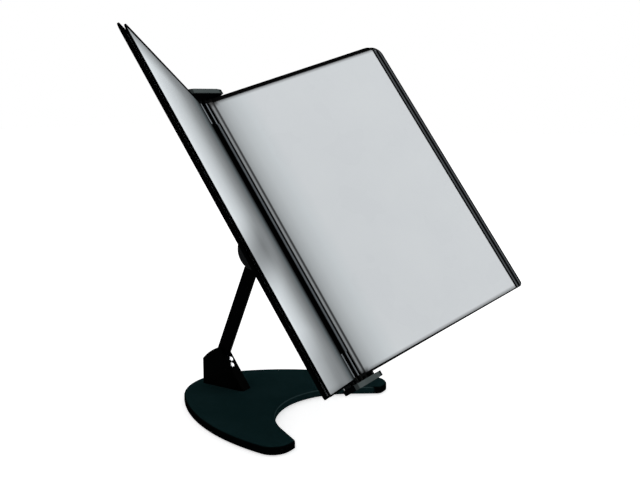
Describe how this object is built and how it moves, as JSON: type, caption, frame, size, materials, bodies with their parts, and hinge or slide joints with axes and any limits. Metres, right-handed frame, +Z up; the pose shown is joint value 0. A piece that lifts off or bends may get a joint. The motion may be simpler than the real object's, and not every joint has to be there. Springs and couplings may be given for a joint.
{
  "type": "desktop display panel system",
  "caption": "Desk reading stand: clear document pockets turn like pages in a tilting holder, on a slim arm over a heavy crescent base.",
  "frame": {"origin": "on the desk under the base, on the mirror plane, at the centre of the base's round back edge", "axes": "+X to the reader's right, -Y towards the reader, +Z up from the desk"},
  "size_m": [0.4188, 0.2851, 0.3649],
  "materials": {
    "base_paint": "dark blue-green black semi-matt paint on cast iron",
    "black_paint": "black satin powder coat on steel",
    "arm_paint": "black satin powder coat on steel",
    "channel_coat": "dark anodised extrusion",
    "end_plate_plastic": "dark grey-green moulded plastic, fine grain",
    "pad_rubber": "matt black sheet",
    "zinc_steel": "zinc plated",
    "bright_screws": "bright nickel plate",
    "blackened_steel": "blackened steel",
    "fibre_washer": "dark pressed fibre",
    "bright_wire": "drawn bright wire",
    "black_edging": "black folded tape, faint grain",
    "black_plastic": "moulded black plastic",
    "matt_film": "clear film with a fine non-glare emboss",
    "grey_card": "smooth light grey blank card"
  },
  "bodies": {
    "base": {"base_plate": "base_paint", "anti_slip_pad": "pad_rubber", "arm_socket": "black_paint", "socket_screws": "zinc_steel", "lower_pivot_pin": "black_paint", "lower_friction_washers": "fibre_washer", "friction_screws": "bright_screws"},
    "arm": {"support_arm": "arm_paint"},
    "holder": {"upper_friction_washers": "fibre_washer", "upper_pivot_bolt": "blackened_steel", "upper_pivot_nut": "blackened_steel", "tilt_bracket": "black_paint", "bracket_screws": "blackened_steel", "holder_channel": "channel_coat", "bottom_end_plate": "end_plate_plastic", "top_end_plate": "end_plate_plastic", "end_plate_screws": "blackened_steel"},
    "left_front_leaf": {"left_front_pivot_rod": "bright_wire", "left_front_frame_wire": "bright_wire", "left_front_edge_hem": "black_edging", "left_front_front_film": "matt_film", "left_front_back_film": "matt_film", "left_front_insert_card": "grey_card", "left_front_spine_sleeve": "black_edging", "left_front_corner_clips": "black_plastic"},
    "left_rear_leaf": {"left_rear_pivot_rod": "bright_wire", "left_rear_frame_wire": "bright_wire", "left_rear_edge_hem": "black_edging", "left_rear_front_film": "matt_film", "left_rear_back_film": "matt_film", "left_rear_insert_card": "grey_card", "left_rear_spine_sleeve": "black_edging", "left_rear_corner_clips": "black_plastic"},
    "right_front_leaf": {"right_front_pivot_rod": "bright_wire", "right_front_frame_wire": "bright_wire", "right_front_edge_hem": "black_edging", "right_front_front_film": "matt_film", "right_front_back_film": "matt_film", "right_front_insert_card": "grey_card", "right_front_spine_sleeve": "black_edging", "right_front_corner_clips": "black_plastic"},
    "right_rear_leaf": {"right_rear_pivot_rod": "bright_wire", "right_rear_frame_wire": "bright_wire", "right_rear_edge_hem": "black_edging", "right_rear_front_film": "matt_film", "right_rear_back_film": "matt_film", "right_rear_insert_card": "grey_card", "right_rear_spine_sleeve": "black_edging", "right_rear_corner_clips": "black_plastic"}
  },
  "joints": [
    {"name": "arm_tilt", "type": "hinge", "parent": "base", "child": "arm", "pos_m": [0, 0.034, 0.0325], "axis": [-1, 0, 0], "range_deg": [0, 30]},
    {"name": "holder_tilt", "type": "hinge", "parent": "arm", "child": "holder", "pos_m": [0, -0.01683, 0.15832], "axis": [-1, 0, 0], "range_deg": [-12, 35]},
    {"name": "right_front_turn", "type": "hinge", "parent": "holder", "child": "right_front_leaf", "pos_m": [0.00413, -0.04034, 0.17478], "axis": [0, -0.5736, -0.8192], "range_deg": [0, 61]},
    {"name": "right_rear_turn", "type": "hinge", "parent": "holder", "child": "right_rear_leaf", "pos_m": [0.01238, -0.04034, 0.17478], "axis": [0, -0.5736, -0.8192], "range_deg": [0, 30.5]},
    {"name": "left_front_turn", "type": "hinge", "parent": "holder", "child": "left_front_leaf", "pos_m": [-0.00413, -0.04034, 0.17478], "axis": [0, 0.5736, 0.8192], "range_deg": [0, 61]},
    {"name": "left_rear_turn", "type": "hinge", "parent": "holder", "child": "left_rear_leaf", "pos_m": [-0.01238, -0.04034, 0.17478], "axis": [0, 0.5736, 0.8192], "range_deg": [0, 30.5]}
  ],
  "couplings": [
    {"joint": "right_rear_turn", "follows": "right_front_turn", "ratio": 0.5},
    {"joint": "left_rear_turn", "follows": "left_front_turn", "ratio": 0.5}
  ]
}
